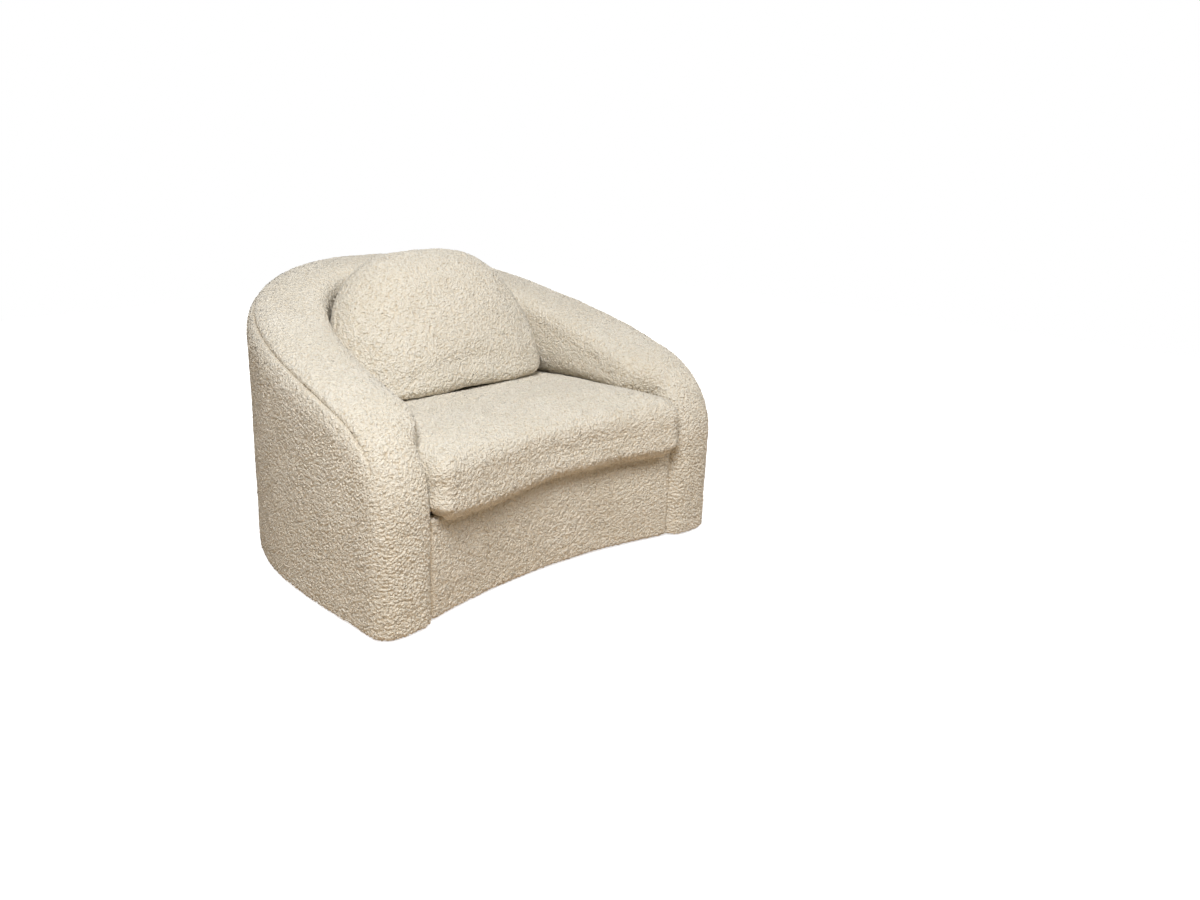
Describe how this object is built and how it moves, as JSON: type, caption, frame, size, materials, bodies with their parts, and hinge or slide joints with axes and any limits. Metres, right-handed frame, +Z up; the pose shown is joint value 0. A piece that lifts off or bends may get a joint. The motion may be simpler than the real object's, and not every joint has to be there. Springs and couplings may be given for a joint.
{
  "type": "tub chair",
  "caption": "Wide tub chair with one curved upholstered wall, rolled top edge, bowed front, loose seat cushion and loose half-round back pillow.",
  "frame": {"origin": "on the floor, under the middle of the chair's bounding box", "axes": "+Z up, the chair faces -Y, +X is to the right as seen from its front"},
  "size_m": [1.204, 1.016, 0.8177],
  "materials": {
    "boucle": "matte",
    "deck_cloth": "matte",
    "foam": "matte",
    "wadding": "matte",
    "hessian": "matte",
    "dust_cloth": "matte",
    "zip_tape": "matte",
    "timber": "matte",
    "board": "matte",
    "spring_steel": "satin",
    "zip_metal": "satin",
    "nylon": "satin"
  },
  "bodies": {
    "shell": {"inside_and_roll_cover": "boucle", "outside_cover": "boucle", "roll_foam": "foam", "outside_wadding": "wadding", "lining_foam": "foam", "outside_board": "board", "inside_board": "board", "left_base_rail": "timber", "back_base_rail": "timber", "right_base_rail": "timber", "left_top_rail": "timber", "back_top_rail": "timber", "right_top_rail": "timber", "left_seat_rail": "timber", "back_seat_rail": "timber", "right_seat_rail": "timber", "back_middle_rib": "timber", "left_arm_rib": "timber", "right_arm_rib": "timber", "left_rear_arm_rib": "timber", "right_rear_arm_rib": "timber", "left_back_rib": "timber", "right_back_rib": "timber", "left_arm_front_board": "timber", "right_arm_front_board": "timber", "apron_cover": "boucle", "apron_wadding": "wadding", "apron_board": "board", "front_seat_rail": "timber", "front_base_rail": "timber", "front_edge_roll": "foam", "left_corner_block": "timber", "right_corner_block": "timber", "seat_spring_1": "spring_steel", "seat_spring_2": "spring_steel", "seat_spring_3": "spring_steel", "seat_spring_4": "spring_steel", "seat_spring_5": "spring_steel", "spring_cloth": "hessian", "deck_foam": "foam", "deck_cover": "deck_cloth", "dust_cover": "dust_cloth", "front_left_glide": "nylon", "front_right_glide": "nylon", "rear_left_glide": "nylon", "rear_right_glide": "nylon"},
    "seat_cushion": {"seat_cushion_cover": "boucle", "seat_cushion_core": "foam", "seat_zip_tape": "zip_tape"},
    "seat_zip": {"seat_zip_slider": "zip_metal"},
    "back_pillow": {"back_pillow_cover": "boucle", "back_pillow_fill": "wadding", "pillow_zip_tape": "zip_tape"},
    "pillow_zip": {"pillow_zip_slider": "zip_metal"}
  },
  "joints": [
    {"name": "seat_cushion_slide", "type": "slide", "parent": "shell", "child": "seat_cushion", "axis": [0, -1, 0], "range_m": [0, 0.9]},
    {"name": "back_pillow_lift", "type": "slide", "parent": "seat_cushion", "child": "back_pillow", "axis": [0, 0, 1], "range_m": [0, 0.5]},
    {"name": "seat_zip_run", "type": "hinge", "parent": "seat_cushion", "child": "seat_zip", "pos_m": [0, -0.222, 0.345], "axis": [0, 0, 1], "range_deg": [0, 45]},
    {"name": "pillow_zip_run", "type": "slide", "parent": "back_pillow", "child": "pillow_zip", "axis": [-1, 0, 0], "range_m": [0, 0.41]}
  ]
}
